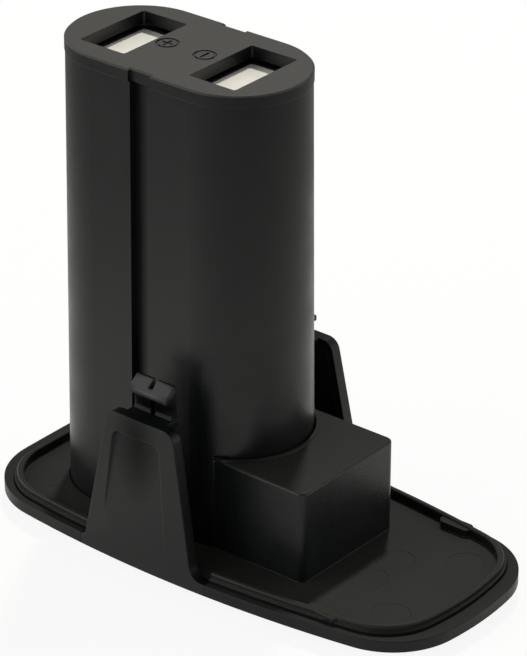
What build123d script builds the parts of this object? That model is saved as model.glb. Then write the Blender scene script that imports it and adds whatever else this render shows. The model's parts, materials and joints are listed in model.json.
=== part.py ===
"""Stick battery pack of a cordless hand tool: a twin-lobed cell tower on a handle end cap with two latches.

Millimetres. X runs along the end cap towards the key block, Y across it, Z up the tower.
The origin is on the underside, below the middle of the tower.
"""
import os
from math import radians, sqrt, tan

from build123d import *

os.makedirs("parts", exist_ok=True)

# Working allowances
overrun = 5.0
seam = 0.12
fit_gap = 0.3
foot_seam = 0.06

# Turns in degrees
half_turn = 180
quarter_turn = 90

# Cells, sleeves and straps
cell_diameter = 22.0
cell_height = 42.5
button_diameter = 8.4
button_height = 1.1
crimp_drop = 3.2
crimp_width = 1.6
crimp_depth = 0.6
sleeve_slack = 0.1
sleeve_wall = 0.22
sleeve_fold = 2.2
ring_thickness = 0.3
ring_bore = 9.6
ring_diameter = 17.2
strap_thickness = 0.2
strap_width = 5.0
strap_length = 14.0
strap_shift = 0.6
pad_thickness = 0.7

# Tower: two lobes joined by nearly straight flanks, wider at the foot by its mould draft
lobe_gap = 0.33
bore_gap = 0.43
waist_depth = 0.0
tower_draft = 0.57
tower_wall = 1.58
groove_left = 2.2
groove_right = 1.2
groove_depth = 1.7
groove_step_width = 0.9
groove_step_depth = 0.5
wire_window_left = 5.0
wire_window_width = 21.6
wire_window_height = 2.0

# Top cap, contact carrier and contacts
cap_thickness = 2.4
cap_overhang = 0.15
cap_edge_chamfer = 0.3
cap_notch_half_width = 2.5
cap_notch_depth = 0.7
mark_x = (-4.8, 3.85)
mark_diameter = 4.4
mark_line = 0.5
mark_bar = 2.5
mark_depth = 0.3
pocket_centre = 12.7
pocket_length = 10.4
pocket_width = 17.4
pocket_depth = 3.56
pocket_corner_radius = 0.5
spigot_wall = 0.6
spigot_height = 0.9
contact_thickness = 0.4
contact_tab_width = 6.0
contact_tab_inset = 1.2
carrier_floor = 1.1
bridge_length = 3.0
bridge_width = 3.6
top_pad_thickness = 1.54

# End cap plate
plate_left = 35.1
plate_right = 67.9
plate_apex = 10.1
flank_radius = 262.0
left_end_fall = 0.4
right_end_fall = 3.0
left_corner_radius = 16.0
right_corner_radius = 14.8
crown_depth = 2.2
crown_reach = 12.0
crown_low_share = 0.25
skirt_height = 2.24
cover_floor = 1.6
tray_floor = 1.2

# Tray with its upstanding lip
lip_left = 32.2
lip_right = 65.0
flange_flank = 1.5
lip_left_corner_radius = 14.0
lip_right_corner_radius = 12.5
lip_thickness = 1.1
lip_height = 1.8
lip_edge_share = 0.2
lip_step_width = 0.4
lip_step_height = 0.7
snap_length = 7.0
snap_depth = 1.3
snap_places_x = (47.5,)
snap_sides = (-1, 1)
ejector_diameter = 7.2
ejector_depth = 0.05
ejector_places = ((-18.9, 17.9), (55.9, 11.2), (45.4, 4.0))

# Key block beside the tower
block_end = 37.6
block_half_width = 13.44
block_top = 22.9
block_wall = 1.6
block_corner_radius = 1.6
block_edge_radius = 0.5
collar_width = 0.7
collar_height = 0.35

# Latch wings
latch_x = 8.2
latch_top = 32.2
latch_top_half_width = 7.7
latch_root_half_width = 12.8
latch_top_corner_radius = 2.5
latch_lean = 1.4
latch_skin = 1.7
latch_rib = 1.3
latch_inset = 4.0
latch_depth = 2.6
latch_crest_depth = 2.2
latch_foot_left = 0.95
latch_foot_right = 3.05
latch_left_root_radius = 1.0
latch_right_root_radius = 3.0
latch_floor_gap = 0.55
latch_room = 1.0
recess_x = 7.3
recess_drop = 2.9
recess_top_half_width = 6.2
recess_root_half_width = 7.7
recess_corner_radius = 2.4
recess_depth = 1.0
recess_foot = 7.5
recess_slope = 30

# Latch hooks
stem_gap = 4.6
stem_width = 8.8
stem_thickness = 1.2
stem_shelf = 1.5
shelf_margin = 0.3
ledge_rise = 0.45
ledge_step = 0.2
hook_rise_above_wing = 3.75
hook_nose = 0.95
hook_rise = 1.9
hook_reach = 2.8
hook_flat = 0.5
hook_notch_width = 1.0
hook_front_strip = 0.85

# Thermal fuse in the key block
fuse_diameter = 4.0
fuse_length = 10.0
fuse_lead_diameter = 0.9
fuse_height = 9.0
fuse_x = 32.6
link_run_y = 8.0

# Places that follow from the sizes above: the cells set the tower, and the tower sets the end cap
cell_radius = cell_diameter / 2
sleeve_radius = cell_radius + sleeve_slack
lobe_pitch = 2 * (sleeve_radius + sleeve_wall) + lobe_gap
lobe_x = lobe_pitch / 2
bore_radius = sleeve_radius + sleeve_wall + bore_gap
lobe_radius = bore_radius + tower_wall
spigot_radius = bore_radius - fit_gap
strap_bottom = cover_floor + pad_thickness
lower_cell_z = strap_bottom + strap_thickness
upper_cell_z = lower_cell_z + cell_height + strap_thickness
cells_top = upper_cell_z + cell_height
terminal_top = cells_top + strap_thickness
cell_shoulder = cell_height - button_height
crimp_bottom = cell_shoulder - crimp_drop - crimp_width
carrier_bottom = terminal_top + top_pad_thickness
contact_bottom = carrier_bottom + carrier_floor
tower_top = contact_bottom + contact_thickness + pocket_depth
cap_bottom = tower_top - cap_thickness
draft_slope = tan(radians(tower_draft))
tower_height = tower_top - cover_floor
foot_radius = lobe_radius + draft_slope * tower_height
foot_bore_radius = foot_radius - tower_wall
pad_half_width = wire_window_width / 2
tab_x = pocket_centre + pocket_length / 2 - contact_tab_inset
block_inner_y = block_half_width - block_wall
skirt_top = crown_depth + skirt_height
tray_bottom = skirt_top - tray_floor
stem_back_y = foot_radius + stem_gap
stem_front_y = stem_back_y + stem_thickness
ledge_y = stem_front_y + ledge_step
ledge_top = latch_top + ledge_rise
hook_front_y = stem_back_y + hook_reach
hook_low = latch_top + hook_rise_above_wing
hook_top = hook_low + hook_nose + hook_rise
latch_inner_y = stem_back_y + latch_inset
plate_half_width = latch_inner_y + latch_depth
crest_inner_y = plate_half_width - latch_lean - latch_crest_depth
shelf_half_width = stem_width / 2 + shelf_margin
foot_left = latch_x - latch_root_half_width - latch_foot_left
foot_right = latch_x + latch_root_half_width + latch_foot_right
foot_centre = (foot_left + foot_right) / 2
foot_length = foot_right - foot_left
foot_inner_y = plate_half_width - latch_skin - flange_flank / 2
recess_top = latch_top - recess_drop
lean_slope = latch_lean / (latch_top - skirt_top)
recess_foot_y = plate_half_width - lean_slope * (recess_foot - skirt_top)
recess_top_y = plate_half_width - lean_slope * (recess_top - skirt_top) - recess_depth


def flank_y(x, half_width):
    """Gives how far out the long side of an outline lies at a place along it."""
    return half_width - flank_radius + sqrt(flank_radius**2 - (x - plate_apex) ** 2)


def end_cap_outline(left, right, half_width, left_corner, right_corner):
    """Gives the rounded outline that the end cap and its tray share."""
    left_x = left_end_fall - left
    right_x = right - right_end_fall
    left_y = flank_y(left_x, half_width)
    right_y = flank_y(right_x, half_width)
    with BuildSketch(mode=Mode.PRIVATE) as outline:
        with BuildLine():
            ThreePointArc((left_x, left_y), (plate_apex, half_width), (right_x, right_y))
            ThreePointArc((right_x, right_y), (right, 0), (right_x, -right_y))
            ThreePointArc((right_x, -right_y), (plate_apex, -half_width), (left_x, -left_y))
            ThreePointArc((left_x, -left_y), (-left, 0), (left_x, left_y))
        make_face()
        fillet(outline.vertices().group_by(Axis.X)[0], left_corner)
        fillet(outline.vertices().group_by(Axis.X)[-1], right_corner)
    return outline.sketch


def plate_outline(inset=0.0):
    """Gives the end cap's outer outline, drawn in by an inset."""
    half_width = plate_half_width - inset
    shrink = half_width / plate_half_width
    left_corner = left_corner_radius * shrink
    right_corner = right_corner_radius * shrink
    return end_cap_outline(plate_left - inset, plate_right - inset, half_width, left_corner, right_corner)


def tray_outline(inset=0.0):
    """Gives the tray's outline, drawn in by an inset."""
    half_width = plate_half_width - flange_flank - inset
    shrink = half_width / plate_half_width
    left_corner = lip_left_corner_radius * shrink
    right_corner = lip_right_corner_radius * shrink
    return end_cap_outline(lip_left - inset, lip_right - inset, half_width, left_corner, right_corner)


def lobes(radius):
    """Gives the two lobes of the tower as full circles."""
    with BuildSketch(mode=Mode.PRIVATE) as outline:
        with Locations((-lobe_x, 0), (lobe_x, 0)):
            Circle(radius)
    return outline.sketch


def joined_discs(radius):
    """Gives one disc in each bore and a bridge between them."""
    with BuildSketch(mode=Mode.PRIVATE) as outline:
        add(lobes(radius))
        Rectangle(bridge_length, bridge_width)
    return outline.sketch


def tower_outline(radius):
    """Gives the tower's outline, with nearly flat flanks between the lobes."""
    with BuildSketch(mode=Mode.PRIVATE) as outline:
        add(lobes(radius))
        Rectangle(lobe_pitch, 2 * (radius - waist_depth))
    return outline.sketch


def groove_outline(radius):
    """Gives one guide groove of the tower with its small step."""
    flank = radius - waist_depth
    with BuildSketch(mode=Mode.PRIVATE) as outline:
        with BuildLine():
            Polyline(
                (-groove_left, flank + overrun), (-groove_left, flank - groove_depth),
                (groove_right, flank - groove_depth), (groove_right, flank - groove_step_depth),
                (groove_right + groove_step_width, flank - groove_step_depth),
                (groove_right + groove_step_width, flank + overrun), close=True,
            )
        make_face()
    return outline.sketch


def trapezoid(middle, crest, root, top, foot, corner):
    """Gives a trapezoid of the latch wings as seen from the side, with rounded top corners."""
    with BuildSketch(mode=Mode.PRIVATE) as outline:
        with BuildLine():
            Polyline(
                (middle - root, foot), (middle - crest, top), (middle + crest, top),
                (middle + root, foot), close=True,
            )
        make_face()
        fillet(outline.vertices().group_by(Axis.Y)[-1], corner)
    return outline.sketch


def pockets(length, width):
    """Gives both contact pockets with rounded corners."""
    with BuildSketch(mode=Mode.PRIVATE) as outline:
        with Locations((-pocket_centre, 0), (pocket_centre, 0)):
            RectangleRounded(length, width, pocket_corner_radius)
    return outline.sketch


def box_sketch(x_low, x_high, y_low, y_high):
    """Gives a rectangle between two corners."""
    with BuildSketch(mode=Mode.PRIVATE) as outline:
        with Locations(((x_low + x_high) / 2, (y_low + y_high) / 2)):
            Rectangle(x_high - x_low, y_high - y_low)
    return outline.sketch


# End cap form: a softly crowned underside and an upright skirt
with BuildPart() as cap_form:
    with BuildSketch(Plane.XY):
        add(plate_outline(crown_reach))
    with BuildSketch(Plane.XY.offset(crown_depth * crown_low_share)):
        add(plate_outline(crown_reach / 2))
    with BuildSketch(Plane.XY.offset(crown_depth)):
        add(plate_outline())
    loft(ruled=True)
    with BuildSketch(Plane.XY.offset(crown_depth)):
        add(plate_outline())
    extrude(amount=skirt_height)

# Tower form, the room that it needs in the tray, and the slanted guide grooves
with BuildPart() as tower_form:
    with BuildSketch(Plane.XY.offset(cover_floor)):
        add(tower_outline(foot_radius))
    extrude(amount=cap_bottom - cover_floor, taper=tower_draft)
with BuildPart() as tower_room:
    with BuildSketch(Plane.XY.offset(cover_floor)):
        add(tower_outline(foot_radius + seam))
    extrude(amount=latch_top - cover_floor)
with BuildPart() as groove_room:
    with BuildSketch(Plane.XY.offset(cover_floor)):
        add(groove_outline(foot_radius))
    extrude(amount=tower_height * sqrt(1 + draft_slope**2), dir=(0, -draft_slope, 1))
    mirror(about=Plane.XZ)

# Bottom cover: crowned plate with a skirt and a ledge for the tray
with BuildPart() as bottom_cover:
    add(cap_form.part)
    with BuildSketch(Plane.XY.offset(tray_bottom)):
        add(tray_outline(-seam))
    extrude(amount=tray_floor, mode=Mode.SUBTRACT)
    with BuildSketch(Plane.XY.offset(cover_floor)):
        add(tower_outline(foot_radius + seam))
        add(box_sketch(0, block_end - block_wall, -block_half_width, block_half_width))
    extrude(amount=tray_bottom - cover_floor, mode=Mode.SUBTRACT)
    with BuildSketch(Plane.XY):
        for side in (-1, 1):
            with Locations((foot_centre, side * (foot_inner_y + overrun))):
                Rectangle(foot_length + 2 * foot_seam, 2 * overrun)
    extrude(amount=skirt_top, mode=Mode.SUBTRACT)
bottom_cover.part.label = "bottom_cover"
export_step(bottom_cover.part, "parts/bottom_cover.step")

# Tray: floor, stepped lip, snap bosses and the hollow key block
with BuildPart() as tray:
    with BuildSketch(Plane.XY.offset(tray_bottom)):
        add(tray_outline())
    extrude(amount=tray_floor)
    with BuildSketch(Plane.XY.offset(skirt_top)):
        add(tray_outline())
        add(tray_outline(lip_step_width + lip_thickness), mode=Mode.SUBTRACT)
    extrude(amount=lip_step_height)
    with BuildSketch(Plane.XY.offset(skirt_top)):
        add(tray_outline(lip_step_width))
        add(tray_outline(lip_step_width + lip_thickness), mode=Mode.SUBTRACT)
    extrude(amount=lip_height)
    chamfer(tray.faces().sort_by(Axis.Z)[-1].edges(), lip_thickness * lip_edge_share)
    # Snap bosses stand inwards from the lip
    with BuildSketch(Plane.XY.offset(skirt_top)):
        for place in snap_places_x:
            for side in snap_sides:
                reach = flank_y(place, plate_half_width - flange_flank - lip_step_width - lip_thickness)
                with Locations((place, side * reach)):
                    SlotOverall(snap_length, 2 * snap_depth)
    extrude(amount=lip_height - lip_step_height / 2)
    with BuildSketch(Plane.XY.offset(skirt_top)):
        for x, y in ejector_places:
            with Locations((x, y), (x, -y)):
                Circle(ejector_diameter / 2)
    extrude(amount=-ejector_depth, mode=Mode.SUBTRACT)
    # Key block with rounded upright corners and top edges, hollow from below
    with BuildSketch(Plane.XY.offset(tray_bottom)):
        add(box_sketch(0, block_end, -block_half_width, block_half_width))
        fillet(vertices().group_by(Axis.X)[-1], block_corner_radius)
    extrude(amount=block_top - tray_bottom)
    fillet(tray.faces().sort_by(Axis.Z)[-1].edges().sort_by(Axis.X)[1:], block_edge_radius)
    with BuildSketch(Plane.XY.offset(block_top)):
        add(tower_outline(foot_radius + seam + collar_width))
        add(box_sketch(0, block_end, -block_half_width, block_half_width), mode=Mode.INTERSECT)
    extrude(amount=collar_height)
    with BuildSketch(Plane.XY.offset(tray_bottom)):
        add(box_sketch(0, block_end - block_wall, -block_inner_y, block_inner_y))
    extrude(amount=block_top - block_wall - tray_bottom, mode=Mode.SUBTRACT)
    add(tower_room.part, mode=Mode.SUBTRACT)
    # Room for the latches through the rim of the floor and through the lip
    with BuildSketch(Plane.XY):
        for side in (-1, 1):
            with Locations((foot_centre, side * (foot_inner_y - seam + overrun))):
                Rectangle(foot_length + 2 * foot_seam, 2 * overrun)
    extrude(amount=skirt_top, mode=Mode.SUBTRACT)
    with BuildSketch(Plane.XY.offset(skirt_top)):
        for side in (-1, 1):
            with Locations((foot_centre, side * (latch_inner_y - latch_room + overrun))):
                Rectangle(foot_length, 2 * overrun)
    extrude(amount=lip_height, mode=Mode.SUBTRACT)
tray.part.label = "tray"
export_step(tray.part, "parts/tray.step")

# Tower shell: tapered twin-lobed tube with two bores and a guide groove down each flank
with BuildPart() as tower_shell:
    add(tower_form.part)
    with BuildSketch(Plane.XY.offset(cover_floor)):
        add(lobes(foot_bore_radius))
    extrude(amount=cap_bottom - cover_floor, taper=tower_draft, mode=Mode.SUBTRACT)
    add(groove_room.part, mode=Mode.SUBTRACT)
    with BuildSketch(Plane.XY.offset(cover_floor)):
        add(box_sketch(-wire_window_left, lobe_x + 2 * lobe_radius, -pad_half_width, pad_half_width))
    extrude(amount=wire_window_height, mode=Mode.SUBTRACT)
tower_shell.part.label = "tower_shell"
export_step(tower_shell.part, "parts/tower_shell.step")

# Top cap: cover of the tower with two contact pockets and a locating spigot
with BuildPart() as top_cap:
    with BuildSketch(Plane.XY.offset(cap_bottom)):
        add(tower_outline(lobe_radius + cap_overhang))
        for side in (-1, 1):
            with Locations((0, side * (lobe_radius + cap_overhang - cap_notch_depth + overrun))):
                Rectangle(2 * cap_notch_half_width, 2 * overrun, mode=Mode.SUBTRACT)
    extrude(amount=cap_thickness)
    chamfer(top_cap.faces().sort_by(Axis.Z)[-1].outer_wire().edges(), cap_edge_chamfer)
    with BuildSketch(Plane.XY.offset(cap_bottom)):
        add(pockets(pocket_length, pocket_width))
    extrude(amount=cap_thickness, mode=Mode.SUBTRACT)
    with BuildSketch(Plane.XY.offset(cap_bottom)):
        add(lobes(spigot_radius))
        add(lobes(spigot_radius - spigot_wall), mode=Mode.SUBTRACT)
    extrude(amount=-spigot_height)
    # Engraved plus and minus signs, each in a ring
    with BuildSketch(Plane.XY.offset(tower_top)):
        for middle, bars in zip(mark_x, ((0, quarter_turn), (quarter_turn,))):
            with Locations((middle, 0)):
                Circle(mark_diameter / 2)
                Circle(mark_diameter / 2 - mark_line, mode=Mode.SUBTRACT)
                for turn in bars:
                    Rectangle(mark_bar, mark_line, rotation=turn)
    extrude(amount=-mark_depth, mode=Mode.SUBTRACT)
top_cap.part.label = "top_cap"
export_step(top_cap.part, "parts/top_cap.step")

# Contact carrier: insulating disc with a shallow well for each contact
with BuildPart() as contact_carrier:
    with BuildSketch(Plane.XY.offset(carrier_bottom)):
        add(joined_discs(spigot_radius))
    extrude(amount=cap_bottom - spigot_height - carrier_bottom)
    with BuildSketch(Plane.XY.offset(contact_bottom)):
        add(pockets(pocket_length, pocket_width))
    extrude(amount=pocket_depth, mode=Mode.SUBTRACT)
    with BuildSketch(Plane.XY.offset(carrier_bottom)):
        with Locations((-tab_x, 0), (tab_x, 0)):
            Rectangle(contact_thickness + 2 * fit_gap, contact_tab_width + 2 * fit_gap)
    extrude(amount=carrier_floor, mode=Mode.SUBTRACT)
contact_carrier.part.label = "contact_carrier"
export_step(contact_carrier.part, "parts/contact_carrier.step")

# Contacts: flat plates with a tab that runs down to the terminal straps
for contact_label, side in (("positive_contact", -1), ("negative_contact", 1)):
    with BuildPart() as contact:
        with BuildSketch(Plane.XY.offset(contact_bottom)):
            with Locations((side * pocket_centre, 0)):
                RectangleRounded(pocket_length - seam, pocket_width - seam, pocket_corner_radius)
        extrude(amount=contact_thickness)
        with BuildSketch(Plane.XY.offset(terminal_top)):
            with Locations((side * tab_x, 0)):
                Rectangle(contact_thickness, contact_tab_width)
        extrude(amount=contact_bottom - terminal_top)
    contact.part.label = contact_label
    export_step(contact.part, "parts/" + contact_label + ".step")

# One sub-C cell, its shrink sleeve and its insulating ring, upright on the origin
with BuildPart() as cell_form:
    with BuildSketch(Plane.XZ):
        with BuildLine():
            Polyline(
                (0, 0), (cell_radius, 0), (cell_radius, crimp_bottom),
                (cell_radius - crimp_depth, crimp_bottom + crimp_width / 2),
                (cell_radius, crimp_bottom + crimp_width), (cell_radius, cell_shoulder),
                (button_diameter / 2, cell_shoulder), (button_diameter / 2, cell_height),
                (0, cell_height), close=True,
            )
        make_face()
    revolve(axis=Axis.Z)
with BuildPart() as sleeve_form:
    with BuildSketch(Plane.XY):
        Circle(sleeve_radius + sleeve_wall)
        Circle(sleeve_radius, mode=Mode.SUBTRACT)
    extrude(amount=cell_shoulder)
    with BuildSketch(Plane.XY.offset(cell_shoulder)):
        Circle(sleeve_radius + sleeve_wall)
        Circle(sleeve_radius - sleeve_fold, mode=Mode.SUBTRACT)
    extrude(amount=sleeve_wall)
with BuildPart() as ring_form:
    with BuildSketch(Plane.XY.offset(cell_shoulder)):
        Circle(ring_diameter / 2)
        Circle(ring_bore / 2, mode=Mode.SUBTRACT)
    extrude(amount=ring_thickness)

# The four cells stand button up in the left lobe and button down in the right lobe
left_places = (Location((-lobe_x, 0, lower_cell_z)), Location((-lobe_x, 0, upper_cell_z)))
right_places = (
    Location((lobe_x, 0, lower_cell_z + cell_height), (half_turn, 0, 0)),
    Location((lobe_x, 0, upper_cell_z + cell_height), (half_turn, 0, 0)),
)
for index, place in enumerate(left_places + right_places, 1):
    for form, kind in ((cell_form, "cell_"), (sleeve_form, "cell_sleeve_"), (ring_form, "cell_ring_")):
        with BuildPart() as item:
            with Locations(place):
                add(form.part)
        item.part.label = kind + str(index)
        export_step(item.part, "parts/" + kind + str(index) + ".step")

# Straps between the cells of a column, and on top of the upper cells
strap_places = (
    ("left_column_strap", -1, upper_cell_z - strap_thickness),
    ("right_column_strap", 1, upper_cell_z - strap_thickness),
    ("positive_terminal_strap", -1, cells_top),
    ("negative_terminal_strap", 1, cells_top),
)
for strap_label, side, height in strap_places:
    with BuildPart() as strap:
        with BuildSketch(Plane.XY.offset(height)):
            with Locations((side * (lobe_x + strap_shift), 0)):
                Rectangle(strap_length, strap_width)
        extrude(amount=strap_thickness)
    strap.part.label = strap_label
    export_step(strap.part, "parts/" + strap_label + ".step")

# Link straps from the foot of each column to the fuse in the key block
for link_label, side, middle in (("negative_link_strap", -1, -lobe_x), ("positive_link_strap", 1, lobe_x)):
    with BuildPart() as link:
        with BuildSketch(Plane.XY.offset(strap_bottom)):
            with Locations((middle, side * (link_run_y / 2 - strap_width / 4))):
                Rectangle(strap_width, link_run_y + strap_width / 2)
            with Locations(((middle + fuse_x) / 2, side * link_run_y)):
                Rectangle(fuse_x - middle + strap_width, strap_width)
        extrude(amount=strap_thickness)
    link.part.label = link_label
    export_step(link.part, "parts/" + link_label + ".step")

# Thermal fuse across the key block, its leads bent down to the link straps
with BuildPart() as thermal_fuse:
    with Locations(Location((fuse_x, 0, fuse_height), (quarter_turn, 0, 0))):
        Cylinder(fuse_diameter / 2, fuse_length)
        Cylinder(fuse_lead_diameter / 2, 2 * link_run_y)
    for side in (-1, 1):
        with Locations((fuse_x, side * link_run_y, fuse_height)):
            Sphere(fuse_lead_diameter / 2)
            Cylinder(
                fuse_lead_diameter / 2, fuse_height - lower_cell_z,
                align=(Align.CENTER, Align.CENTER, Align.MAX),
            )
thermal_fuse.part.label = "thermal_fuse"
export_step(thermal_fuse.part, "parts/thermal_fuse.step")

# Foam pads below the cells and between the cells and the contact carrier
with BuildPart() as foot_pad:
    with BuildSketch(Plane.XY.offset(cover_floor)):
        add(lobes(foot_bore_radius - fit_gap))
        add(box_sketch(lobe_x, fuse_x + strap_width / 2, fit_gap - pad_half_width, pad_half_width - fit_gap))
    extrude(amount=pad_thickness)
foot_pad.part.label = "foot_pad"
export_step(foot_pad.part, "parts/foot_pad.step")
with BuildPart() as top_pad:
    with BuildSketch(Plane.XY.offset(terminal_top)):
        add(joined_discs(spigot_radius))
        with Locations((-tab_x, 0), (tab_x, 0)):
            Rectangle(
                contact_thickness + 2 * fit_gap, contact_tab_width + 2 * fit_gap, mode=Mode.SUBTRACT
            )
    extrude(amount=carrier_bottom - terminal_top)
top_pad.part.label = "top_pad"
export_step(top_pad.part, "parts/top_pad.step")

# Space of a latch: its foot in the skirt, its wing above the tray and its shelf towards the tower
with BuildPart() as latch_space:
    with BuildSketch(Plane.XZ.offset(-stem_back_y)):
        with BuildLine():
            Polyline(
                (foot_left, 0), (foot_left, skirt_top), (latch_x - latch_root_half_width, skirt_top),
                (latch_x - latch_top_half_width, latch_top), (latch_x + latch_top_half_width, latch_top),
                (latch_x + latch_root_half_width, skirt_top), (foot_right, skirt_top), (foot_right, 0),
                close=True,
            )
        make_face()
        fillet(vertices().group_by(Axis.Y)[-1], latch_top_corner_radius)
        root_corners = vertices().group_by(Axis.Y)[1].sort_by(Axis.X)
        fillet(root_corners[1], latch_left_root_radius)
        root_corners = vertices().group_by(Axis.Y)[1].sort_by(Axis.X)
        fillet(root_corners[-2], latch_right_root_radius)
    extrude(amount=-2 * overrun)
    with BuildSketch(Plane.YZ.offset(foot_left - overrun)):
        with BuildLine():
            Polyline(
                (0, 0), (0, latch_top - stem_shelf), (crest_inner_y, latch_top - stem_shelf),
                (latch_inner_y, skirt_top), (latch_inner_y, 0), close=True,
            )
        make_face()
        add(box_sketch(0, foot_inner_y + seam, 0, skirt_top + latch_floor_gap))
    extrude(amount=foot_length + 2 * overrun, mode=Mode.SUBTRACT)
    # The shelf is little wider than the stem
    with BuildSketch(Plane.XY.offset(latch_top - stem_shelf - overrun)):
        for low, high in (
            (foot_left - overrun, latch_x - shelf_half_width),
            (latch_x + shelf_half_width, foot_right + overrun),
        ):
            add(box_sketch(low, high, 0, crest_inner_y))
    extrude(amount=2 * overrun, mode=Mode.SUBTRACT)

# Hollow on the inner side of a wing
with BuildPart() as latch_hollow:
    with BuildSketch(Plane.XY.offset(skirt_top)):
        add(plate_outline(latch_skin))
    with BuildSketch(Plane.XY.offset(latch_top)):
        add(plate_outline(latch_skin + latch_lean))
    loft(ruled=True)
    with BuildSketch(Plane.XZ.offset(overrun - latch_inner_y)):
        add(trapezoid(
            latch_x, latch_top_half_width - latch_rib, latch_root_half_width - latch_rib,
            latch_top - stem_shelf, skirt_top, latch_top_corner_radius - latch_rib,
        ))
    extrude(amount=-4 * overrun, mode=Mode.INTERSECT)

# Finger recess in the outer face of a wing, deepest at its top, with sloping walls
with BuildPart() as finger_recess:
    with BuildSketch(Plane.XZ.offset(-plate_half_width)):
        add(trapezoid(
            recess_x, recess_top_half_width, recess_root_half_width,
            recess_top, recess_foot, recess_corner_radius,
        ))
    extrude(amount=latch_depth, taper=recess_slope)
    with BuildSketch(Plane.YZ.offset(recess_x - latch_root_half_width)):
        with BuildLine():
            Polyline(
                (recess_foot_y, recess_foot), (recess_top_y, recess_top),
                (recess_foot_y + overrun, recess_top), (recess_foot_y + overrun, recess_foot), close=True,
            )
        make_face()
    extrude(amount=2 * latch_root_half_width, mode=Mode.INTERSECT)

# Latch: sprung wing with a foot, a shelf, a split stem and a ramped hook
with BuildPart() as far_latch:
    with BuildSketch(Plane.XY.offset(skirt_top)):
        add(plate_outline())
    with BuildSketch(Plane.XY.offset(latch_top)):
        add(plate_outline(latch_lean))
    loft(ruled=True)
    add(cap_form.part)
    add(latch_space.part, mode=Mode.INTERSECT)
    add(latch_hollow.part, mode=Mode.SUBTRACT)
    add(finger_recess.part, mode=Mode.SUBTRACT)
    with BuildSketch(Plane.YZ.offset(latch_x)):
        with BuildLine():
            Polyline(
                (stem_back_y, latch_top - stem_shelf), (stem_back_y, hook_top),
                (stem_back_y + hook_flat, hook_top), (hook_front_y, hook_low + hook_nose),
                (hook_front_y, hook_low), (stem_front_y, hook_low), (stem_front_y, ledge_top),
                (ledge_y, ledge_top), (ledge_y, latch_top - stem_shelf), close=True,
            )
        make_face()
    extrude(amount=stem_width / 2, both=True)
    # A slot splits the stem and the back of the hook
    with BuildSketch(Plane.XY.offset(latch_top)):
        add(box_sketch(
            latch_x - hook_notch_width / 2, latch_x + hook_notch_width / 2,
            stem_back_y - overrun, hook_front_y - hook_front_strip,
        ))
    extrude(amount=hook_top - latch_top, mode=Mode.SUBTRACT)
far_latch.part.label = "far_latch"
export_step(far_latch.part, "parts/far_latch.step")
with BuildPart() as near_latch:
    mirror(far_latch.part, about=Plane.XZ)
near_latch.part.label = "near_latch"
export_step(near_latch.part, "parts/near_latch.step")
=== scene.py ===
"""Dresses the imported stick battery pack: camera, lights, floor and moulded finishes."""
import json
from math import radians

import bpy
from mathutils import Matrix, Vector

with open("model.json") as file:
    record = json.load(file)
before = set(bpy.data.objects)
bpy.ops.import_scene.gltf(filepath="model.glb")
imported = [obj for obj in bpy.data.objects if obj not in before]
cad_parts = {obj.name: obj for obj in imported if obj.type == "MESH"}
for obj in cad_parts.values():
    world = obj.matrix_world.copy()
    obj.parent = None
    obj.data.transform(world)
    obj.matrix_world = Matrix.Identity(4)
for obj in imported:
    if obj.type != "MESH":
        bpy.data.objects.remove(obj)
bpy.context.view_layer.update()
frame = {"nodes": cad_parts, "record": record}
nodes = frame["nodes"]

# Camera, fitted to the photograph: angles in degrees, lens and sensor in millimetres, the rest in metres
camera_turn = 39.021
camera_rise = 27.456
camera_roll = 0.171
quarter_turn = 90
camera_distance = 0.66324
camera_target = Vector((0.0173956, 0, 0.0445474))
sensor_width = 36.0
focal_length = 250.298
clip_near = 0.05
clip_far = 20.0


def add_camera():
    """Sets the camera on its line of sight through the target."""
    data = bpy.data.cameras.new("camera")
    data.sensor_width = sensor_width
    data.sensor_fit = "HORIZONTAL"
    data.lens = focal_length
    data.clip_start = clip_near
    data.clip_end = clip_far
    camera = bpy.data.objects.new("camera", data)
    bpy.context.scene.collection.objects.link(camera)
    turn = Matrix.Rotation(radians(camera_turn), 4, "Z")
    rise = Matrix.Rotation(radians(quarter_turn - camera_rise), 4, "X")
    roll = Matrix.Rotation(radians(camera_roll), 4, "Z")
    back = Matrix.Translation((0, 0, camera_distance))
    camera.matrix_world = Matrix.Translation(camera_target) @ turn @ rise @ roll @ back
    bpy.context.scene.camera = camera


add_camera()
bpy.context.scene.view_settings.view_transform = "Standard"

# Display curve: straight up to its knee, and a power above it
display_white = 255
straight_slope = 12.92
knee_share = 0.04045
offset_share = 0.055
curve_power = 2.4


def grey(level):
    """Gives the linear value of a display grey from 0 to 255."""
    share = level / display_white
    if share <= knee_share:
        return share / straight_slope
    return ((share + offset_share) / (1 + offset_share)) ** curve_power


def shade(red, green, blue):
    """Gives a linear colour from display values."""
    return (grey(red), grey(green), grey(blue), 1)


white = (1, 1, 1, 1)
warm_white = (1, 0.98, 0.93, 1)

# Lamps: each with its direction from the aim, distance and size in metres, and strength in watts
lamp_aim = Vector((0.01, 0, 0.03))
lamps = (
    ("overhead_lamp", (-0.225, 0.41, 0.885), 0.9, 0.07, 4.5),
    ("side_lamp", (-0.34, -0.92, 0.2), 0.6, 0.14, 0.2),
)

# World light: soft lobes from overhead and from the camera's side, right, far side and left, with strengths
lobe_power = 2
side_ways = Matrix.Rotation(radians(camera_turn), 3, "Z")
world_lobes = (
    (Vector((0, 0, 1)), 0.02),
    (side_ways @ Vector((0, -1, 0)), 0.25),
    (side_ways @ Vector((1, 0, 0)), 1.4),
    (side_ways @ Vector((0, 1, 0)), 0.17),
    (side_ways @ Vector((-1, 0, 0)), 2.5),
)


def feed(tree, value, socket):
    """Links a value that comes from a node, or sets a plain one on the socket itself."""
    if isinstance(value, bpy.types.NodeSocket):
        tree.links.new(value, socket)
    else:
        socket.default_value = value


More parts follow.
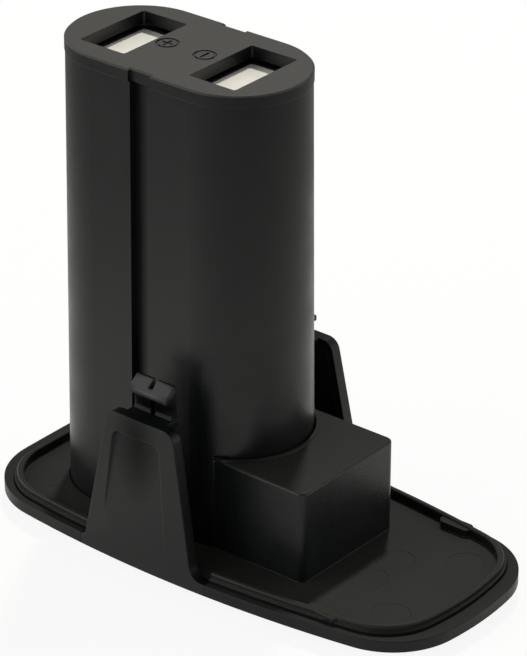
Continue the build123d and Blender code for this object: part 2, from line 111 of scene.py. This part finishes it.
def computed(tree, operation, first, second):
    """Adds a calculation with two values."""
    node = tree.nodes.new("ShaderNodeMath")
    node.operation = operation
    feed(tree, first, node.inputs[0])
    feed(tree, second, node.inputs[1])
    return node.outputs["Value"]


def worked_out(tree, operation, first, second=None):
    """Adds a calculation with a vector and, where it takes one, a second fixed vector."""
    node = tree.nodes.new("ShaderNodeVectorMath")
    node.operation = operation
    feed(tree, first, node.inputs[0])
    if second is not None:
        feed(tree, second, node.inputs[1])
    return node.outputs["Value" if operation in ("DOT_PRODUCT", "LENGTH") else "Vector"]


def ranged(tree, value, low, high, out_low, out_high):
    """Maps a value from one range to another, held at its ends."""
    node = tree.nodes.new("ShaderNodeMapRange")
    node.clamp = True
    for name, number in (("From Min", low), ("From Max", high), ("To Min", out_low), ("To Max", out_high)):
        node.inputs[name].default_value = number
    feed(tree, value, node.inputs["Value"])
    return node.outputs["Result"]


def place_lamp(name, way, distance, size, power):
    """Sets a round lamp at a distance from the aim and turns it there."""
    data = bpy.data.lights.new(name, "AREA")
    data.shape = "DISK"
    data.size = size
    data.energy = power
    data.color = warm_white[:3]
    lamp = bpy.data.objects.new(name, data)
    bpy.context.scene.collection.objects.link(lamp)
    away = Vector(way).normalized()
    lamp.location = lamp_aim + distance * away
    lamp.rotation_euler = away.to_track_quat("Z", "Y").to_euler()


def add_surroundings():
    """Lights the object with the soft lobes, and shows the camera plain white."""
    world = bpy.data.worlds.new("studio")
    bpy.context.scene.world = world
    world.use_nodes = True
    tree = world.node_tree
    tree.nodes.clear()
    way = tree.nodes.new("ShaderNodeTexCoord").outputs["Generated"]
    total = 0
    for towards, strength in world_lobes:
        share = computed(tree, "MAXIMUM", worked_out(tree, "DOT_PRODUCT", way, towards), 0)
        lobe = computed(tree, "MULTIPLY", computed(tree, "POWER", share, lobe_power), strength)
        total = computed(tree, "ADD", lobe, total)
    seen = tree.nodes.new("ShaderNodeBackground")
    seen.inputs["Color"].default_value = white
    lit = tree.nodes.new("ShaderNodeBackground")
    lit.inputs["Color"].default_value = warm_white
    tree.links.new(total, lit.inputs["Strength"])
    paths = tree.nodes.new("ShaderNodeLightPath")
    mix = tree.nodes.new("ShaderNodeMixShader")
    out = tree.nodes.new("ShaderNodeOutputWorld")
    tree.links.new(paths.outputs["Is Camera Ray"], mix.inputs["Fac"])
    tree.links.new(lit.outputs["Background"], mix.inputs[1])
    tree.links.new(seen.outputs["Background"], mix.inputs[2])
    tree.links.new(mix.outputs["Shader"], out.inputs["Surface"])


for lamp_row in lamps:
    place_lamp(*lamp_row)
add_surroundings()

# Floor: white with a faint shadow for the camera, and a pool of light round the object for all else
floor_half_size = 3.0
floor_tone = (0.9, 0.9, 0.9, 1)
floor_shadow_share = 0.1
pool_shift = (-0.015, 0, 0)
pool_near_radius = 0.08
pool_far_radius = 0.24
pool_far_share = 0.3
pool_colour_share = 0.5
pool_glow = 0.43


def add_floor():
    """Lays the floor and gives it one look for the camera and one for the light that it returns."""
    mesh = bpy.data.meshes.new("floor")
    signs = ((-1, -1), (1, -1), (1, 1), (-1, 1))
    mesh.from_pydata([(x * floor_half_size, y * floor_half_size, 0) for x, y in signs], [], [(0, 1, 2, 3)])
    floor = bpy.data.objects.new("floor", mesh)
    bpy.context.scene.collection.objects.link(floor)
    material = bpy.data.materials.new("floor_white")
    material.use_nodes = True
    tree = material.node_tree
    tree.nodes.clear()
    diffuse = tree.nodes.new("ShaderNodeBsdfDiffuse")
    diffuse.inputs["Color"].default_value = floor_tone
    glow = tree.nodes.new("ShaderNodeEmission")
    glow.inputs["Color"].default_value = white
    share = tree.nodes.new("ShaderNodeMixShader")
    share.inputs["Fac"].default_value = 1 - floor_shadow_share
    place = tree.nodes.new("ShaderNodeTexCoord").outputs["Object"]
    reach = worked_out(tree, "LENGTH", worked_out(tree, "ADD", place, pool_shift))
    pool = ranged(tree, reach, pool_near_radius, pool_far_radius, 1, pool_far_share)
    pool_diffuse = tree.nodes.new("ShaderNodeBsdfDiffuse")
    feed(tree, computed(tree, "MULTIPLY", pool, pool_colour_share), pool_diffuse.inputs["Color"])
    pool_light = tree.nodes.new("ShaderNodeEmission")
    pool_light.inputs["Color"].default_value = warm_white
    feed(tree, computed(tree, "MULTIPLY", pool, pool_glow), pool_light.inputs["Strength"])
    both = tree.nodes.new("ShaderNodeAddShader")
    paths = tree.nodes.new("ShaderNodeLightPath")
    mix = tree.nodes.new("ShaderNodeMixShader")
    out = tree.nodes.new("ShaderNodeOutputMaterial")
    tree.links.new(diffuse.outputs["BSDF"], share.inputs[1])
    tree.links.new(glow.outputs["Emission"], share.inputs[2])
    tree.links.new(pool_diffuse.outputs["BSDF"], both.inputs[0])
    tree.links.new(pool_light.outputs["Emission"], both.inputs[1])
    tree.links.new(paths.outputs["Is Camera Ray"], mix.inputs["Fac"])
    tree.links.new(both.outputs["Shader"], mix.inputs[1])
    tree.links.new(share.outputs["Shader"], mix.inputs[2])
    tree.links.new(mix.outputs["Shader"], out.inputs["Surface"])
    mesh.materials.append(material)


add_floor()

# Textures that the finishes share: noise scales per metre, details, and the middle part of the noise
cloud_scale = 45
cloud_detail = 3
smear_scale = 110
smear_detail = 4
smear_roughness_share = 0.6
grain_detail = 2
line_scale = 400
line_detail = 3
stain_scale = 160
plain_roughness_share = 0.5
noise_low_share = 0.3
noise_high_share = 0.7

# How far the roughness of plastic and of metal falls and rises from place to place
plastic_fall = 0.05
plastic_gain = 0.06
metal_fall = 0.06
metal_gain = 0.08

# How steeply a face looks up where its painted tone starts to change, and where the change is complete
upward_start_share = 0.4
upward_full_share = 0.9
bevel_samples = 6


def noise(tree, place, scale, detail, roughness_share=plain_roughness_share):
    """Adds a noise texture in object space."""
    node = tree.nodes.new("ShaderNodeTexNoise")
    node.inputs["Scale"].default_value = scale
    node.inputs["Detail"].default_value = detail
    node.inputs["Roughness"].default_value = roughness_share
    tree.links.new(place, node.inputs["Vector"])
    return node.outputs["Fac"]


def spread(tree, texture, low, high):
    """Maps the middle part of a noise texture to a range."""
    return ranged(tree, texture, noise_low_share, noise_high_share, low, high)


def blended(tree, share, first, second):
    """Mixes two colours by a share."""
    node = tree.nodes.new("ShaderNodeMix")
    node.data_type = "RGBA"
    tree.links.new(share, node.inputs["Factor"])
    feed(tree, first, node.inputs["A"])
    feed(tree, second, node.inputs["B"])
    return node.outputs["Result"]


def painted_light_share(tree, place, painted_spots):
    """Gives a share that falls inside each spot of painted shade and rises inside a spot of painted
    highlight, the same on both sides of the middle planes.
    """
    folded = worked_out(tree, "ABSOLUTE", place)
    share = 1
    for middle, reach, core_share, painted_shade_share in painted_spots:
        offset = worked_out(tree, "DIVIDE", worked_out(tree, "SUBTRACT", folded, middle), reach)
        length = worked_out(tree, "LENGTH", offset)
        spot = ranged(tree, length, core_share, 1, 1 - painted_shade_share, 1)
        share = computed(tree, "MULTIPLY", spot, share)
    return share


def scaled_colour(tree, colour, share):
    """Multiplies a colour by a share."""
    node = tree.nodes.new("ShaderNodeVectorMath")
    node.operation = "SCALE"
    tree.links.new(colour, node.inputs[0])
    tree.links.new(share, node.inputs["Scale"])
    return node.outputs["Vector"]


def new_material(name):
    """Makes a material, and gives it with its tree, its shader and its object coordinates."""
    material = bpy.data.materials.new(name)
    material.use_nodes = True
    tree = material.node_tree
    place = tree.nodes.new("ShaderNodeTexCoord").outputs["Object"]
    return material, tree, tree.nodes["Principled BSDF"], place


def moulded(name, tones, roughness, shine, grain_scale, grain_height, edge_radius, painted_top=None, painted_spots=()):
    """Makes moulded plastic with a fine grain, a soft cloudy tone, slightly rounded edges, and where given,
    painted light or shade on upward faces and in round patches.
    """
    material, tree, shader, place = new_material(name)
    colour = blended(tree, spread(tree, noise(tree, place, cloud_scale, cloud_detail), 0, 1), *tones)
    smears = noise(tree, place, smear_scale, smear_detail, smear_roughness_share)
    gloss = spread(tree, smears, roughness - plastic_fall, roughness + plastic_gain)
    if painted_top:
        # Faces that look up get a painted tone, lighter as painted light or darker as painted shade, and are
        # matter and with less shine
        tone, added_roughness, shine_share = painted_top
        surface = tree.nodes.new("ShaderNodeNewGeometry")
        upright = tree.nodes.new("ShaderNodeSeparateXYZ")
        tree.links.new(surface.outputs["True Normal"], upright.inputs["Vector"])
        steps = (upright.outputs["Z"], upward_start_share, upward_full_share)
        colour = blended(tree, ranged(tree, *steps, 0, 1), colour, tone)
        gloss = computed(tree, "ADD", gloss, ranged(tree, *steps, 0, added_roughness))
        shine = ranged(tree, *steps, shine, shine * shine_share)
    # Painted light in round patches: colour and shine fall as painted shade, or rise as painted highlight
    if painted_spots:
        share = painted_light_share(tree, place, painted_spots)
        colour = scaled_colour(tree, colour, share)
        shine = computed(tree, "MULTIPLY", share, shine)
    feed(tree, shine, shader.inputs["Specular IOR Level"])
    tree.links.new(colour, shader.inputs["Base Color"])
    tree.links.new(gloss, shader.inputs["Roughness"])
    edge = tree.nodes.new("ShaderNodeBevel")
    edge.samples = bevel_samples
    edge.inputs["Radius"].default_value = edge_radius
    bump = tree.nodes.new("ShaderNodeBump")
    bump.inputs["Distance"].default_value = grain_height
    tree.links.new(noise(tree, place, grain_scale, grain_detail), bump.inputs["Height"])
    tree.links.new(edge.outputs["Normal"], bump.inputs["Normal"])
    tree.links.new(bump.outputs["Normal"], shader.inputs["Normal"])
    return material


def metal(name, tones, roughness, stretch, scratch_height, metal_share):
    """Makes plated metal with fine drawn lines."""
    material, tree, shader, place = new_material(name)
    shader.inputs["Metallic"].default_value = metal_share
    drawn = tree.nodes.new("ShaderNodeMapping")
    drawn.inputs["Scale"].default_value = stretch
    tree.links.new(place, drawn.inputs["Vector"])
    lines = noise(tree, drawn.outputs["Vector"], line_scale, line_detail)
    tree.links.new(blended(tree, spread(tree, lines, 0, 1), *tones), shader.inputs["Base Color"])
    stains = noise(tree, place, stain_scale, smear_detail, smear_roughness_share)
    gloss = spread(tree, stains, roughness - metal_fall, roughness + metal_gain)
    tree.links.new(gloss, shader.inputs["Roughness"])
    bump = tree.nodes.new("ShaderNodeBump")
    bump.inputs["Distance"].default_value = scratch_height
    tree.links.new(lines, bump.inputs["Height"])
    tree.links.new(bump.outputs["Normal"], shader.inputs["Normal"])
    return material


# Painted light spots: middle and reach in metres, share of the reach that is fully painted, and painted
# shade share, below zero a painted highlight
# Painted shade in the wing's recess and on the stem under the hook's head, a painted highlight on the hook's
# ramp, and painted shade on the cap's pocket walls
recess_painted_shade = ((0.0073, 0.025, 0.027), (0.0058, 0.006, 0.0125), 0.1, 0.75)
stem_painted_shade = ((0.0082, 0.02, 0.0348), (0.007, 0.0014, 0.0024), 0.6, 0.8)
ramp_painted_highlight = ((0.0082, 0.0208, 0.038), (0.0065, 0.0028, 0.0019), 0.6, -2.4)
pocket_painted_shade = ((0.0127, 0, 0.0915), (0.012, 0.0132, 0.0029), 0.6, 0.6)
latch_painted_light = (recess_painted_shade, stem_painted_shade, ramp_painted_highlight)
cap_painted_shade = (pocket_painted_shade,)

# Tones: a dark and a light one for each material, as linear colours
black = (shade(12, 15, 17), shade(16, 18, 20))
contact_plating = ((0.98, 0.95, 0.86, 1), (1, 0.98, 0.92, 1))
strap_nickel = ((0.6, 0.59, 0.56, 1), (0.72, 0.71, 0.68, 1))
can_steel = ((0.6, 0.6, 0.59, 1), (0.7, 0.7, 0.69, 1))
sleeve_green = (shade(52, 128, 88), shade(60, 138, 98))
card_cream = (shade(226, 222, 208), shade(236, 233, 222))
foam_grey = (shade(38, 38, 38), shade(54, 54, 54))
fuse_cream = (shade(214, 204, 176), shade(224, 216, 190))

# Upward faces: painted tone, lighter as painted light and darker on the latch as painted shade, added
# roughness and the share of the shine that is left
tower_top_painted_light = (shade(36, 36, 34), 0.2, 0.6)
base_top_painted_light = (shade(39, 40, 38), 0.12, 0.35)
latch_top_painted_shade = (shade(8, 12, 14), 0.1, 0.5)
cap_top_painted_light = (shade(56, 56, 55), 0.2, 0.9)

# Plastics: name, tones, roughness, shine, grain per metre, grain height, edge radius, painted tone of upward
# faces and painted light spots
plastics = {
    "case_plastic": ("case_finish", black, 0.34, 0.36, 3600, 0.00004, 0.0001, tower_top_painted_light),
    "latch_plastic": ("latch_finish", black, 0.37, 0.28, 3600, 0.00004, 0.0004, latch_top_painted_shade, latch_painted_light),
    "cap_plastic": ("cap_finish", black, 0.36, 0.36, 3000, 0.00005, 0.0002, cap_top_painted_light, cap_painted_shade),
    "carrier_plastic": ("carrier_finish", black, 0.5, 0.3, 4600, 0.00001, 0.0001),
    "sleeve_film": ("sleeve_finish", sleeve_green, 0.3, 0.5, 900, 0.000004, 0.0001),
    "ring_card": ("card_finish", card_cream, 0.8, 0.3, 1800, 0.00001, 0.0001),
    "pad_foam": ("foam_finish", foam_grey, 0.9, 0.3, 2200, 0.00006, 0.0001),
    "fuse_body": ("fuse_finish", fuse_cream, 0.5, 0.5, 1500, 0.000006, 0.0002),
}

# Two nodes of the case with softer edges than the tower has, and less shine on top
base_plastics = {
    "tray": ("base_finish", black, 0.34, 0.34, 3600, 0.00004, 0.0003, base_top_painted_light),
    "bottom_cover": ("cover_finish", black, 0.38, 0.22, 3600, 0.00004, 0.0004, base_top_painted_light),
}

# Metals: name, tones, roughness, stretch of the drawn lines, scratch height and how far it looks metallic
metals = {
    "contact_metal": ("contact_finish", contact_plating, 0.3, (1, 8, 1), 0.000002, 0.1),
    "strap_metal": ("strap_finish", strap_nickel, 0.36, (8, 1, 1), 0.000004, 1.0),
    "cell_steel": ("can_finish", can_steel, 0.3, (1, 1, 8), 0.000003, 1.0),
}

slot_finishes = {slot: moulded(*row) for slot, row in plastics.items()}
slot_finishes.update({slot: metal(*row) for slot, row in metals.items()})
node_finishes = {node: moulded(*row) for node, row in base_plastics.items()}


def dress_nodes():
    """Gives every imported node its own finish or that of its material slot."""
    for row in frame["record"]["subparts"]:
        piece = nodes[row["node"]]
        finish = node_finishes.get(row["node"], slot_finishes[row["material_slot"]])
        if not piece.material_slots:
            piece.data.materials.append(finish)
        for place in piece.material_slots:
            place.link = "OBJECT"
            place.material = finish


dress_nodes()
